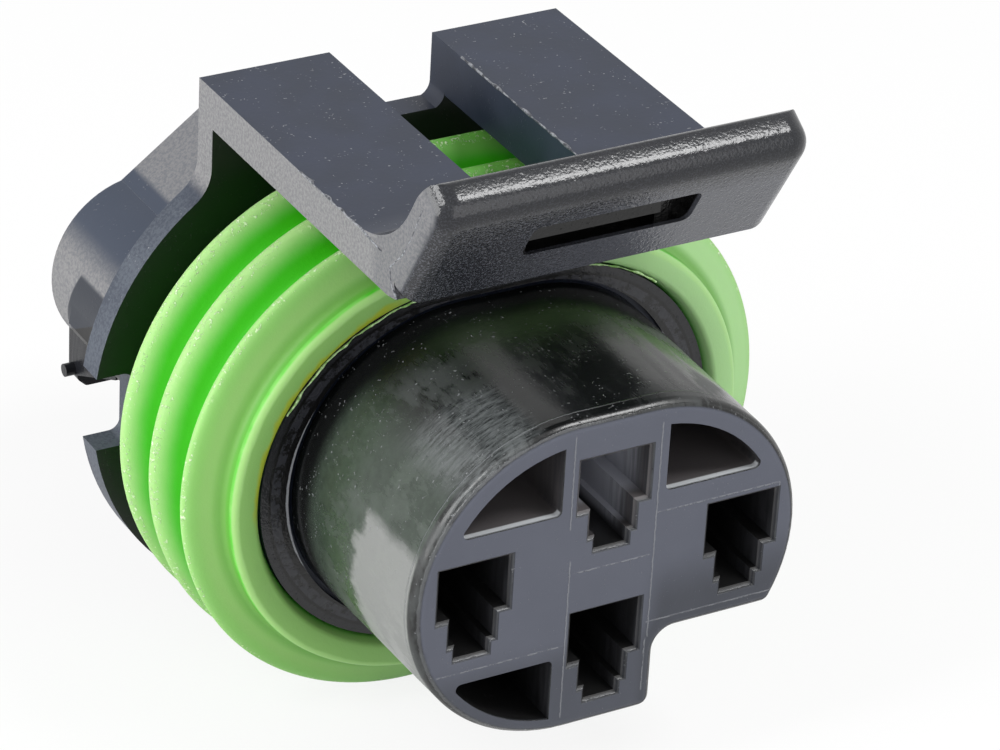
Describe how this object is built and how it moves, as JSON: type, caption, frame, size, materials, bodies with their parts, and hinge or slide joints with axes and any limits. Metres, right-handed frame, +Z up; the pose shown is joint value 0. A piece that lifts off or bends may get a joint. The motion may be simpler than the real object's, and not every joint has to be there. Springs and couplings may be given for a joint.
{
  "type": "sealed automotive connector",
  "caption": "Oval keyed connector with stepped terminal cavities, a ribbed seal sleeve, a flange, a bridge latch and a lobed wire end closed by a separate lock.",
  "frame": {"origin": "middle of the nose face, on the axis of the oval nose", "axes": "+X across the connector, +Y from the nose face to the wire end, +Z up to the latch"},
  "size_m": [0.0382, 0.0443, 0.0414],
  "materials": {
    "housing_plastic": "satin glass-filled nylon",
    "seal_rubber": "smooth silicone",
    "lock_plastic": "glossy black"
  },
  "bodies": {
    "root": {"connector_housing": "housing_plastic", "interface_seal": "seal_rubber", "secondary_lock": "lock_plastic"}
  },
  "joints": []
}
